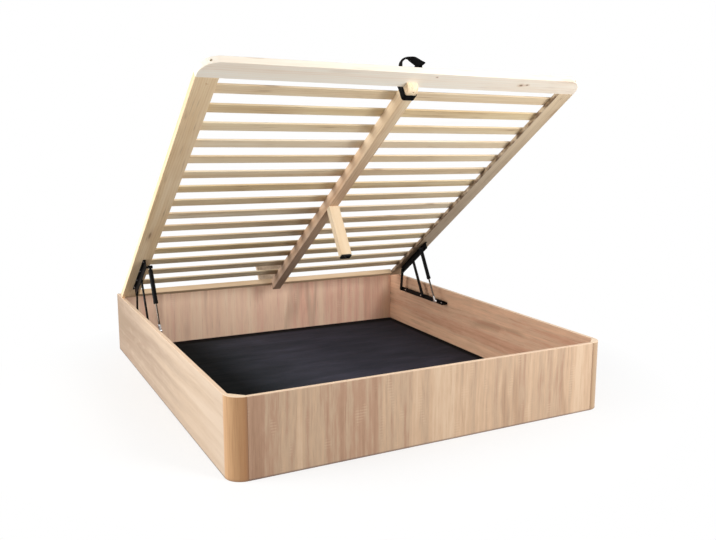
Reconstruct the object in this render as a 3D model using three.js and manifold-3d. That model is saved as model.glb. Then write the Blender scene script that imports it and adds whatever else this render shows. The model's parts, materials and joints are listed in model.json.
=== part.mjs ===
// Ottoman storage bed, 160 by 190 cm, with its slatted lid held open over the box.
// Millimetres, +Z up. X runs across the bed and Y along it, with the foot end at -Y.
// The origin is on the floor under the middle of the box.
import * as THREE from "three";
import { mergeVertices } from "three/addons/utils/BufferGeometryUtils.js";
import Module from "manifold-3d";

const wasm = await Module();
wasm.setup();

// Box
const BED_WIDTH = 1600;
const BED_LENGTH = 1900;
const BOX_HEIGHT = 292;
const BOARD = 16;
const BOARD_EASE = 0.8;
const POST_SIZE = 62;
const FLOOR_BOARD = 3;
const FLOOR_CLOTH = 1.2;

// Clearances
const JOINT_GAP = 0.3;
const REST_GAP = 0.5;
const BLADE_GAP = 0.5;

// Lid frame
const RAIL_THICKNESS = 27;
const SIDE_RAIL = 80;
const FOOT_RAIL = 87;
const HEAD_RAIL = 30;
const RAIL_EASE = 1.6;
const LID_CORNER = 76;
const EDGE_HOLE_RADIUS = 5;
const EDGE_HOLE_DEPTH = 22;
const EDGE_HOLE_TURN = THREE.MathUtils.degToRad(30);
const SCREW_HOLE_RADIUS = 3.4;
const SCREW_HOLE_DEPTH = 9;
const SCREW_FROM_SIDE = 44;
const SCREW_FROM_RAIL = 34;

// Slats, counted from the head end
const SLAT_COUNT = 15;
const SLAT_WIDTH = 52;
const SLAT_THICKNESS = 8;
const SLAT_SINK = 1;
const SLAT_SEAT = 20;
const FIRST_SLAT = 133;
const LAST_SLAT_FROM_FOOT = 169;

// Middle beam and its leg
const BEAM_WIDTH = 45;
const BEAM_DROP = 33;
const BEAM_EASE = 1.5;
const BEAM_FROM_HEAD = 19;
const BEAM_LAP = 29;
const BEAM_NOSE = 32;
const BEAM_HOLE_RADIUS = 3.2;
const LEG_WIDTH = 50;
const LEG_DEPTH = 35;
const LEG_FROM_HEAD = 938;
const LEG_EASE = 2;
const LEG_FOOT_HEIGHT = 8;
const LEG_FOOT_INSET = 1.5;
const LEG_FOOT_RECESS_RADIUS = 8;
const LEG_FOOT_RECESS_DEPTH = 3;

// Mattress stop at the head rail
const STOP_WIDTH = 170;
const STOP_HEIGHT = 100;
const STOP_FROM_HEAD = 8;
const STOP_CORNER = 10;

// Pull strap, a closed band of webbing round the beam
const STRAP_WIDTH = 30;
const STRAP_THICKNESS = 2;
const STRAP_CLEAR = 1.8;
const STRAP_FROM_RAIL = 2.5;
const STRAP_REACH = 44;
const STRAP_LEFT = 54;
const STRAP_RIGHT = 34;
const STRAP_STEPS = 72;

// Lid open: how far its head edge stands in front of the box's back, and its tilt
const LID_SETBACK = 128;
const LID_LIFT = 1;
const LID_ANGLE = THREE.MathUtils.degToRad(34.1);

// Lift mechanism
const BLADE_FROM_SIDE = 50;
const STEEL = 3;
const LOWER_RAIL_HEIGHT = 24;
const LOWER_RAIL_FLANGE = 12;
const LOWER_RAIL_BELOW_EDGE = 54;
const LOWER_RAIL_BEHIND = 20;
const LOWER_RAIL_LENGTH = 478;
const UPPER_RAIL_DROP = 38;
const UPPER_RAIL_FROM_HEAD = 104;
const UPPER_RAIL_LENGTH = 330;
const UPPER_RAIL_FLANGE = 12;
const RAIL_HOLE_RADIUS = 3.5;
const REAR_PIVOT = 116;
const REAR_PIVOT_DROP = 22.5;
const FRONT_PIVOT = 260;
const FRONT_PIVOT_DROP = 30;
const GAS_PIVOT = 404;
const GAS_PIVOT_DROP = 25;
const GAS_FOOT_FROM_END = 41;
const GAS_FOOT_RISE = 3;
const REAR_LINK = 115;
const FRONT_LINK = 216;
const LINK_WIDTH = 20;
const LINK_THICKNESS = 6;
const PIN_RADIUS = 4;
const PIN_CLEAR = 0.3;
const RIVET_RADIUS = 7;
const RIVET_HEIGHT = 2.5;

// Gas springs
const TUBE_RADIUS = 10;
const TUBE_LENGTH = 170;
const TUBE_COLLAR = 0.8;
const ROD_RADIUS = 4.5;
const ROD_CLEAR = 0.4;
const ROD_LENGTH = 154;
const EYE_RADIUS = 7.5;
const EYE_WIDTH = 13;
const NECK_RADIUS = 5;
const END_NUT_RADIUS = 6.5;
const END_NUT_LENGTH = 22;

// Colours
const oak = new THREE.MeshStandardMaterial({ color: 0xc3a48d, roughness: 0.6 });
const oakPost = new THREE.MeshStandardMaterial({ color: 0xbb8c65, roughness: 0.55 });
const cloth = new THREE.MeshStandardMaterial({ color: 0x15181c, roughness: 0.95 });
const hardboard = new THREE.MeshStandardMaterial({ color: 0x7a5a40, roughness: 0.9 });
const pine = new THREE.MeshStandardMaterial({ color: 0xcfae86, roughness: 0.6 });
const slatWood = new THREE.MeshStandardMaterial({ color: 0xb8966b, roughness: 0.6 });
const blackSteel = new THREE.MeshStandardMaterial({ color: 0x141414, roughness: 0.45, metalness: 0.4 });
const zinc = new THREE.MeshStandardMaterial({ color: 0xc9ccd0, roughness: 0.3, metalness: 1 });
const rodSteel = new THREE.MeshStandardMaterial({ color: 0x4a4642, roughness: 0.25, metalness: 1 });
const blackPlastic = new THREE.MeshStandardMaterial({ color: 0x1b1b1b, roughness: 0.6 });
const webbing = new THREE.MeshStandardMaterial({ color: 0x0e0e0f, roughness: 0.9 });

// A geometry's shared vertices are merged, and it becomes a solid that can be joined or cut.
function solid(geometry) {
  const bare = geometry.clone();
  bare.deleteAttribute("normal");
  bare.deleteAttribute("uv");
  const merged = mergeVertices(bare, 1e-4);
  return new wasm.Manifold(
    new wasm.Mesh({
      numProp: 3,
      vertProperties: new Float32Array(merged.attributes.position.array),
      triVerts: new Uint32Array(merged.index.array),
    }),
  );
}

function geometryOf(manifold) {
  const mesh = manifold.getMesh();
  const geometry = new THREE.BufferGeometry();
  const positions = new Float32Array(mesh.numVert * 3);
  for (let i = 0; i < mesh.numVert; i++) {
    for (let k = 0; k < 3; k++) {
      positions[3 * i + k] = mesh.vertProperties[mesh.numProp * i + k];
    }
  }
  geometry.setAttribute("position", new THREE.BufferAttribute(positions, 3));
  geometry.setIndex(new THREE.BufferAttribute(new Uint32Array(mesh.triVerts), 1));
  const flat = geometry.toNonIndexed();
  flat.computeVertexNormals();
  return flat;
}

function joined(first, ...others) {
  return geometryOf(others.reduce((sum, other) => sum.add(solid(other)), solid(first)));
}

function cut(first, ...others) {
  return geometryOf(others.reduce((rest, other) => rest.subtract(solid(other)), solid(first)));
}

// Outline through points [a, b], counter-clockwise
function outline(points) {
  return new THREE.Shape(points.map(([a, b]) => new THREE.Vector2(a, b)));
}

// Rectangle with its corners cut off by a small ease
function easedRectangle(a0, a1, b0, b1, ease) {
  return outline([
    [a0 + ease, b0],
    [a1 - ease, b0],
    [a1, b0 + ease],
    [a1, b1 - ease],
    [a1 - ease, b1],
    [a0 + ease, b1],
    [a0, b1 - ease],
    [a0, b0 + ease],
  ]);
}

// Prism along Z from an outline in X and Y, with its two end faces eased if asked
function prismZ(shape, z0, z1, ease = 0) {
  const geometry = new THREE.ExtrudeGeometry(shape, {
    depth: z1 - z0 - 2 * ease,
    bevelEnabled: ease > 0,
    bevelThickness: ease,
    bevelSize: ease,
    bevelOffset: -ease,
    bevelSegments: 1,
    curveSegments: 10,
  });
  return geometry.translate(0, 0, z0 + ease);
}

// Prism along X from an outline in Y and Z
function prismX(shape, x0, x1, ease = 0) {
  const turn = new THREE.Matrix4().makeBasis(
    new THREE.Vector3(0, 1, 0),
    new THREE.Vector3(0, 0, 1),
    new THREE.Vector3(1, 0, 0),
  );
  return prismZ(shape, x0, x1, ease).applyMatrix4(turn);
}

// Prism along Y from an outline in X and Z
function prismY(shape, y0, y1, ease = 0) {
  const turn = new THREE.Matrix4().makeBasis(
    new THREE.Vector3(1, 0, 0),
    new THREE.Vector3(0, 0, 1),
    new THREE.Vector3(0, -1, 0),
  );
  return prismZ(shape, -y1, -y0, ease).applyMatrix4(turn);
}

// Round bar along X
function barX(radius, x0, x1, y, z, sides = 16) {
  const geometry = new THREE.CylinderGeometry(radius, radius, x1 - x0, sides);
  return geometry.rotateZ(-Math.PI / 2).translate((x0 + x1) / 2, y, z);
}

// The mirror image in the plane x = 0, with its faces turned out again
function mirrored(geometry) {
  const image = geometry.index ? geometry.toNonIndexed() : geometry.clone();
  image.deleteAttribute("normal");
  image.deleteAttribute("uv");
  const p = image.getAttribute("position");
  for (let i = 0; i < p.count; i += 3) {
    const first = [p.getX(i), p.getY(i), p.getZ(i)];
    const second = [p.getX(i + 1), p.getY(i + 1), p.getZ(i + 1)];
    p.setXYZ(i, -second[0], second[1], second[2]);
    p.setXYZ(i + 1, -first[0], first[1], first[2]);
    p.setX(i + 2, -p.getX(i + 2));
  }
  image.computeVertexNormals();
  return image;
}

function onSide(geometry, side) {
  return side > 0 ? geometry : mirrored(geometry);
}

function mesh(parent, name, geometry, material) {
  const piece = new THREE.Mesh(geometry, material);
  piece.name = name;
  parent.add(piece);
  return piece;
}

const bed = new THREE.Group();
const halfWidth = BED_WIDTH / 2;
const halfLength = BED_LENGTH / 2;
const insideX = halfWidth - BOARD;
const insideY = halfLength - BOARD;
const postX = halfWidth - POST_SIZE;
const postY = halfLength - POST_SIZE;

// Side panels run from the corner posts to the back, and the head panel stands between them
for (const [name, side] of [["panel_left", -1], ["panel_right", 1]]) {
  const plan = easedRectangle(insideX, halfWidth, -postY + JOINT_GAP, halfLength, BOARD_EASE);
  mesh(bed, name, onSide(prismZ(plan, 0, BOX_HEIGHT, BOARD_EASE), side), oak);
}
const headPlan = easedRectangle(
  -insideX + JOINT_GAP,
  insideX - JOINT_GAP,
  insideY,
  halfLength,
  BOARD_EASE,
);
mesh(bed, "panel_head", prismZ(headPlan, 0, BOX_HEIGHT, BOARD_EASE), oak);
const footPlan = easedRectangle(
  -postX + JOINT_GAP,
  postX - JOINT_GAP,
  -halfLength,
  -insideY,
  BOARD_EASE,
);
mesh(bed, "panel_foot", prismZ(footPlan, 0, BOX_HEIGHT, BOARD_EASE), oak);

// Corner posts at the foot end: quarter round outside, cut straight across inside
for (const [name, side] of [["post_left", -1], ["post_right", 1]]) {
  const plan = new THREE.Shape();
  plan.moveTo(postX, -halfLength);
  plan.absarc(postX, -postY, POST_SIZE, -Math.PI / 2, 0, false);
  plan.lineTo(insideX, -postY);
  plan.lineTo(postX, -insideY);
  plan.closePath();
  mesh(bed, name, onSide(prismZ(plan, 0, BOX_HEIGHT, BOARD_EASE), side), oakPost);
}

// Floor of the box: hardboard with a black cloth over it, cut across at the posts
function floorPlan(inset) {
  const x = insideX - inset;
  const y = insideY - inset;
  const cutX = postX - inset;
  const cutY = postY - inset;
  return outline([
    [-cutX, -y],
    [cutX, -y],
    [x, -cutY],
    [x, y],
    [-x, y],
    [-x, -cutY],
  ]);
}
const boardTop = JOINT_GAP + FLOOR_BOARD;
const floorTop = boardTop + FLOOR_CLOTH;
mesh(bed, "floor_board", prismZ(floorPlan(JOINT_GAP), JOINT_GAP, boardTop), hardboard);
mesh(bed, "floor_cloth", prismZ(floorPlan(2 * JOINT_GAP), boardTop, floorTop), cloth);

// The lid's own frame: x across, -y from its head edge towards its foot edge, z up from its
// underside. The group carries it to where it stands open.
const lid = new THREE.Group();
const lidHead = new THREE.Vector2(halfLength - LID_SETBACK, BOX_HEIGHT + LID_LIFT);
lid.position.set(0, lidHead.x, lidHead.y);
lid.rotation.x = -LID_ANGLE;
bed.add(lid);
const railInner = halfWidth - SIDE_RAIL;
const sideRailEnd = BED_LENGTH - FOOT_RAIL - JOINT_GAP;
const slatTop = RAIL_THICKNESS - SLAT_SINK;
const slatBottom = slatTop - SLAT_THICKNESS;
const shelf = slatBottom - JOINT_GAP;

// Side rails, with a rebate along the inner top edge where the slat ends lie
const seatX = railInner + SLAT_SEAT + JOINT_GAP;
for (const [name, side] of [["lid_rail_left", -1], ["lid_rail_right", 1]]) {
  const section = outline([
    [railInner, RAIL_EASE],
    [railInner + RAIL_EASE, 0],
    [halfWidth - RAIL_EASE, 0],
    [halfWidth, RAIL_EASE],
    [halfWidth, RAIL_THICKNESS - RAIL_EASE],
    [halfWidth - RAIL_EASE, RAIL_THICKNESS],
    [seatX, RAIL_THICKNESS],
    [seatX, shelf],
    [railInner, shelf],
  ]);
  const screwHole = new THREE.CylinderGeometry(
    SCREW_HOLE_RADIUS,
    SCREW_HOLE_RADIUS,
    2 * SCREW_HOLE_DEPTH,
    12,
  )
    .rotateX(Math.PI / 2)
    .translate(halfWidth - SCREW_FROM_SIDE, -(BED_LENGTH - FOOT_RAIL - SCREW_FROM_RAIL), 0);
  const rail = cut(prismY(section, -sideRailEnd, 0), screwHole);
  mesh(lid, name, onSide(rail, side), pine);
}

// Foot rail over the full width, with rounded outer corners and a hole in each corner's edge
const footInner = BED_LENGTH - FOOT_RAIL;
const railPlan = new THREE.Shape();
railPlan.moveTo(-halfWidth, -footInner);
railPlan.lineTo(-halfWidth, -(BED_LENGTH - LID_CORNER));
railPlan.absarc(
  -(halfWidth - LID_CORNER),
  -(BED_LENGTH - LID_CORNER),
  LID_CORNER,
  Math.PI,
  1.5 * Math.PI,
  false,
);
railPlan.lineTo(halfWidth - LID_CORNER, -BED_LENGTH);
railPlan.absarc(
  halfWidth - LID_CORNER,
  -(BED_LENGTH - LID_CORNER),
  LID_CORNER,
  1.5 * Math.PI,
  2 * Math.PI,
  false,
);
railPlan.lineTo(halfWidth, -footInner);
railPlan.closePath();
const edgeHoles = [-1, 1].map((side) => {
  const hole = new THREE.CylinderGeometry(EDGE_HOLE_RADIUS, EDGE_HOLE_RADIUS, 2 * EDGE_HOLE_DEPTH, 14);
  const turn = side * EDGE_HOLE_TURN;
  hole.rotateZ(turn);
  return hole.translate(
    side * (halfWidth - LID_CORNER) + LID_CORNER * Math.sin(turn),
    -(BED_LENGTH - LID_CORNER) - LID_CORNER * Math.cos(turn),
    RAIL_THICKNESS / 2,
  );
});
const footRail = cut(prismZ(railPlan, 0, RAIL_THICKNESS, RAIL_EASE), ...edgeHoles);
mesh(lid, "lid_rail_foot", footRail, pine);

// Head rail between the side rails
const headSection = easedRectangle(-HEAD_RAIL, 0, 0, RAIL_THICKNESS, RAIL_EASE);
mesh(
  lid,
  "lid_rail_head",
  prismX(headSection, -railInner + JOINT_GAP, railInner - JOINT_GAP),
  pine,
);

// Slats, each end lying in a side rail's rebate
const slatPitch = (BED_LENGTH - LAST_SLAT_FROM_FOOT - FIRST_SLAT) / (SLAT_COUNT - 1);
for (let i = 0; i < SLAT_COUNT; i++) {
  const middle = -(FIRST_SLAT + i * slatPitch);
  const section = easedRectangle(
    middle - SLAT_WIDTH / 2,
    middle + SLAT_WIDTH / 2,
    slatBottom,
    slatTop,
    SLAT_THICKNESS / 4,
  );
  const end = railInner + SLAT_SEAT;
  mesh(lid, "slat_" + String(i + 1).padStart(2, "0"), prismX(section, -end, end), slatWood);
}

// Middle beam under the slats: it laps under the head rail, and under the foot rail with a
// rounded nose
const beamTop = slatBottom - JOINT_GAP;
const noseStart = footInner + BEAM_LAP - BEAM_NOSE;
const beamSide = new THREE.Shape();
beamSide.moveTo(-BEAM_FROM_HEAD, -BEAM_DROP);
beamSide.lineTo(-BEAM_FROM_HEAD, -JOINT_GAP);
beamSide.lineTo(-HEAD_RAIL - JOINT_GAP, -JOINT_GAP);
beamSide.lineTo(-HEAD_RAIL - JOINT_GAP, beamTop);
beamSide.lineTo(-footInner + JOINT_GAP, beamTop);
beamSide.lineTo(-footInner + JOINT_GAP, -JOINT_GAP);
beamSide.lineTo(-footInner - BEAM_LAP, -JOINT_GAP);
beamSide.lineTo(-footInner - BEAM_LAP, -BEAM_DROP / 4);
beamSide.quadraticCurveTo(-footInner - BEAM_LAP, -BEAM_DROP, -noseStart, -BEAM_DROP);
beamSide.closePath();
const beamHole = new THREE.CylinderGeometry(BEAM_HOLE_RADIUS, BEAM_HOLE_RADIUS, BEAM_DROP, 12)
  .rotateX(Math.PI / 2)
  .translate(BEAM_WIDTH / 8, -footInner - BEAM_LAP / 3, -BEAM_DROP);
mesh(
  lid,
  "lid_beam",
  cut(prismX(beamSide, -BEAM_WIDTH / 2, BEAM_WIDTH / 2, BEAM_EASE), beamHole),
  pine,
);

// Leg under the beam, with a black foot that stands on the box's floor when the lid is shut and
// has a round recess for its nail
const legBottom = -(BOX_HEIGHT + REST_GAP - floorTop - REST_GAP);
const legEnd = legBottom + LEG_FOOT_HEIGHT;
const legPlan = easedRectangle(
  -LEG_WIDTH / 2,
  LEG_WIDTH / 2,
  -LEG_FROM_HEAD - LEG_DEPTH / 2,
  -LEG_FROM_HEAD + LEG_DEPTH / 2,
  LEG_EASE,
);
mesh(lid, "lid_leg", prismZ(legPlan, legEnd + JOINT_GAP, -BEAM_DROP - JOINT_GAP), pine);
const glidePlan = easedRectangle(
  -LEG_WIDTH / 2 + LEG_FOOT_INSET,
  LEG_WIDTH / 2 - LEG_FOOT_INSET,
  -LEG_FROM_HEAD - LEG_DEPTH / 2 + LEG_FOOT_INSET,
  -LEG_FROM_HEAD + LEG_DEPTH / 2 - LEG_FOOT_INSET,
  LEG_EASE,
);
const footRecess = new THREE.CylinderGeometry(
  LEG_FOOT_RECESS_RADIUS,
  LEG_FOOT_RECESS_RADIUS,
  2 * LEG_FOOT_RECESS_DEPTH,
  20,
)
  .rotateX(Math.PI / 2)
  .translate(0, -LEG_FROM_HEAD, legBottom);
mesh(
  lid,
  "leg_foot",
  cut(prismZ(glidePlan, legBottom, legEnd, LEG_EASE / 2), footRecess),
  blackPlastic,
);

// Mattress stop: a small board that stands on the head rail
const stopFace = new THREE.Shape();
const stopBottom = RAIL_THICKNESS + JOINT_GAP;
const stopTop = stopBottom + STOP_HEIGHT;
stopFace.moveTo(-STOP_WIDTH / 2, stopBottom);
stopFace.lineTo(STOP_WIDTH / 2, stopBottom);
stopFace.lineTo(STOP_WIDTH / 2, stopTop - STOP_CORNER);
stopFace.absarc(STOP_WIDTH / 2 - STOP_CORNER, stopTop - STOP_CORNER, STOP_CORNER, 0, Math.PI / 2, false);
stopFace.lineTo(-STOP_WIDTH / 2 + STOP_CORNER, stopTop);
stopFace.absarc(
  -STOP_WIDTH / 2 + STOP_CORNER,
  stopTop - STOP_CORNER,
  STOP_CORNER,
  Math.PI / 2,
  Math.PI,
  false,
);
stopFace.closePath();
mesh(
  lid,
  "mattress_stop",
  prismY(stopFace, -STOP_FROM_HEAD - BOARD, -STOP_FROM_HEAD, BOARD_EASE),
  oak,
);

// Pull strap: under the beam, up through the gap between the last slat and the foot rail, over
// the foot rail on edge and flat, and out past the foot edge as a loop for the hand.
// Each stop is a point [x, along the lid, z] and the direction of the band's width.
const wrap = footInner - STRAP_FROM_RAIL - STRAP_WIDTH / 2;
const band = STRAP_THICKNESS / 2 + STRAP_CLEAR;
const under = -BEAM_DROP - band;
const beside = BEAM_WIDTH / 2 + band;
const over = RAIL_THICKNESS + STRAP_WIDTH / 2 + STRAP_CLEAR;
const flatOver = RAIL_THICKNESS + band;
const tip = BED_LENGTH + STRAP_REACH;
const strapStops = [
  [[0, wrap, under], [0, 1, 0]],
  [[-beside + 4, wrap, under], [0, 1, 0]],
  [[-beside, wrap, under + 5], [0, 1, 0]],
  [[-beside, wrap, 0], [0, 1, 0]],
  [[-beside - 0.5, wrap, RAIL_THICKNESS / 2], [0, 1, 0]],
  [[-beside - 3, wrap + 2, RAIL_THICKNESS + 8], [0, 1, -0.35]],
  [[-beside - 9, wrap + 22, over + 8], [0, 0.8, -1]],
  [[-STRAP_LEFT + 8, footInner + FOOT_RAIL / 2, over + 1], [0, 0.1, -1]],
  [[-STRAP_LEFT, BED_LENGTH + 4, over + 1], [0.15, 0, -1]],
  [[-STRAP_LEFT + 9, tip - 10, over - 5], [-0.3, 0.4, -1]],
  [[-STRAP_LEFT + 30, tip, over - 11], [-0.2, 0.9, -0.7]],
  [[0, tip - 4, over - 12], [-0.3, 1, -0.25]],
  [[STRAP_RIGHT - 6, tip - 22, over - 12], [-1, 1, -0.1]],
  [[STRAP_RIGHT, BED_LENGTH - 6, flatOver + 2], [-1, 0.25, 0]],
  [[STRAP_RIGHT + 1, footInner + FOOT_RAIL / 2, flatOver + 0.5], [-1, 0, 0]],
  [[STRAP_RIGHT, footInner + 6, flatOver + 3], [-1, -0.35, 0]],
  [[beside + 6, wrap + 6, RAIL_THICKNESS + 14], [-0.75, -1, 0.1]],
  [[beside + 1.5, wrap + 1, RAIL_THICKNESS + 2], [-0.1, -1, 0]],
  [[beside, wrap, RAIL_THICKNESS / 3], [0, -1, 0]],
  [[beside, wrap, under + 5], [0, -1, 0]],
  [[beside - 4, wrap, under], [0, -1, 0]],
];

// A closed band swept along a smooth loop, with a rectangular section turned as the stops say.
// The widths flip sign once round the beam, which leaves the section the same.
function bandLoop(stops, width, thickness, steps) {
  const path = new THREE.CatmullRomCurve3(
    stops.map(([[x, v, z]]) => new THREE.Vector3(x, -v, z)),
    true,
    "centripetal",
  );
  const lengths = path.getLengths(steps * 8);
  const total = lengths[lengths.length - 1];
  const marks = stops.map((_, i) => lengths[Math.round((i / stops.length) * steps * 8)] / total);
  const directions = stops.map(([, [x, v, z]]) => new THREE.Vector3(x, -v, z).normalize());
  const positions = [];
  const index = [];
  for (let i = 0; i < steps; i++) {
    const u = i / steps;
    let k = marks.length - 1;
    while (k > 0 && marks[k] > u) k--;
    const next = (k + 1) % marks.length;
    const end = next === 0 ? 1 : marks[next];
    const share = (u - marks[k]) / (end - marks[k]);
    const target = directions[next].clone();
    if (target.dot(directions[k]) < 0) target.negate();
    const across = directions[k].clone().lerp(target, share);
    const at = path.getPointAt(u);
    const along = path.getTangentAt(u);
    across.addScaledVector(along, -across.dot(along)).normalize();
    const out = new THREE.Vector3().crossVectors(along, across);
    for (const [a, b] of [[-1, -1], [1, -1], [1, 1], [-1, 1]]) {
      const corner = at
        .clone()
        .addScaledVector(across, (a * width) / 2)
        .addScaledVector(out, (b * thickness) / 2);
      positions.push(corner.x, corner.y, corner.z);
    }
  }
  for (let i = 0; i < steps; i++) {
    const here = 4 * i;
    const there = 4 * ((i + 1) % steps);
    const flip = i === steps - 1 && bandFlips(positions, here, there) ? 2 : 0;
    for (let c = 0; c < 4; c++) {
      const d = (c + 1) % 4;
      const farC = there + ((c + flip) % 4);
      const farD = there + ((d + flip) % 4);
      index.push(here + c, here + d, farD);
      index.push(here + c, farD, farC);
    }
  }
  const geometry = new THREE.BufferGeometry();
  geometry.setAttribute("position", new THREE.Float32BufferAttribute(positions, 3));
  geometry.setIndex(index);
  const flat = geometry.toNonIndexed();
  flat.computeVertexNormals();
  return flat;
}

// Whether the last section of a band meets the first turned by half a turn
function bandFlips(positions, here, there) {
  const gap = (a, b) =>
    Math.hypot(...[0, 1, 2].map((k) => positions[3 * a + k] - positions[3 * b + k]));
  return gap(here, there + 2) < gap(here, there);
}
mesh(lid, "pull_strap", bandLoop(strapStops, STRAP_WIDTH, STRAP_THICKNESS, STRAP_STEPS), webbing);

// Lift mechanism. A point of the lid, given along it and below its underside, in Y and Z: open
// as modelled, and shut on the box.
function lidPoint(along, drop, shut) {
  const tilt = shut ? 0 : LID_ANGLE;
  const head = shut ? new THREE.Vector2(halfLength, BOX_HEIGHT + REST_GAP) : lidHead;
  return new THREE.Vector2(
    head.x - along * Math.cos(tilt) - drop * Math.sin(tilt),
    head.y + along * Math.sin(tilt) - drop * Math.cos(tilt),
  );
}

// The fixed pivot of a link is as far from its moving end open as shut
function fixedPivot(open, shut, length) {
  const middle = open.clone().add(shut).multiplyScalar(0.5);
  const half = open.clone().sub(shut).multiplyScalar(0.5);
  const reach = Math.sqrt(length * length - half.lengthSq());
  const down = new THREE.Vector2(half.y, -half.x).normalize();
  if (down.y > 0) down.negate();
  return middle.addScaledVector(down, reach);
}

const pivots = {};
for (const [name, along, drop] of [
  ["rearTop", REAR_PIVOT, REAR_PIVOT_DROP],
  ["frontTop", FRONT_PIVOT, FRONT_PIVOT_DROP],
  ["gasTop", GAS_PIVOT, GAS_PIVOT_DROP],
]) {
  pivots[name] = lidPoint(along, drop, false);
  pivots[name + "Shut"] = lidPoint(along, drop, true);
}
pivots.rearFoot = fixedPivot(pivots.rearTop, pivots.rearTopShut, REAR_LINK);
pivots.frontFoot = fixedPivot(pivots.frontTop, pivots.frontTopShut, FRONT_LINK);
const railTop = BOX_HEIGHT - LOWER_RAIL_BELOW_EDGE;
const railBottom = railTop - LOWER_RAIL_HEIGHT;
const railMiddle = (railBottom + railTop) / 2;
const railBack = pivots.rearFoot.x + LOWER_RAIL_BEHIND;
const railFront = railBack - LOWER_RAIL_LENGTH;
pivots.gasFoot = new THREE.Vector2(railFront + GAS_FOOT_FROM_END, railMiddle + GAS_FOOT_RISE);
bed.userData.pivots = pivots;

// Planes across the bed, on the right side: the rails' inner blade, the links and the springs
const bladeX = halfWidth - BLADE_FROM_SIDE;
const linkOuter = bladeX - BLADE_GAP;
const linkInner = linkOuter - LINK_THICKNESS;
const rivetInner = linkInner - BLADE_GAP - RIVET_HEIGHT;
const gasX = rivetInner - BLADE_GAP - TUBE_RADIUS - TUBE_COLLAR;

// A pin fixed in a blade, through a link and closed by a rivet head on its inner side
function pin(at) {
  return [
    barX(PIN_RADIUS, rivetInner, bladeX + STEEL / 2, at.x, at.y),
    barX(RIVET_RADIUS, rivetInner, linkInner - BLADE_GAP, at.x, at.y),
  ];
}

// A stud fixed in a blade that carries a gas spring's eye
function stud(at, inner) {
  return [
    barX(PIN_RADIUS, inner, bladeX + STEEL / 2, at.x, at.y),
    barX(PIN_RADIUS + 2.5, linkInner, bladeX + STEEL / 2, at.x, at.y, 6),
  ];
}

// A flat link with round ends, from its foot at the group's origin up along Z, with a hole at
// each end, or with a riveted stud in place of the top hole
function link(length, studTop) {
  const half = LINK_WIDTH / 2;
  const shape = new THREE.Shape();
  shape.moveTo(-half, 0);
  shape.absarc(0, 0, half, Math.PI, 2 * Math.PI, false);
  shape.lineTo(half, length);
  shape.absarc(0, length, half, 0, Math.PI, false);
  shape.closePath();
  for (const z of studTop ? [0] : [0, length]) {
    const hole = new THREE.Path();
    hole.absarc(0, z, PIN_RADIUS + PIN_CLEAR, 0, 2 * Math.PI, true);
    shape.holes.push(hole);
  }
  const blade = prismX(shape, linkInner, linkOuter);
  if (!studTop) return blade;
  return joined(blade, barX(RIVET_RADIUS, linkInner - RIVET_HEIGHT, linkOuter - 1, 0, length));
}

// A group whose Z axis points from one pivot to another
function between(foot, top) {
  const group = new THREE.Group();
  const along = top.clone().sub(foot);
  group.position.set(0, foot.x, foot.y);
  group.rotation.x = Math.atan2(along.y, along.x) - Math.PI / 2;
  bed.add(group);
  return group;
}

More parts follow.
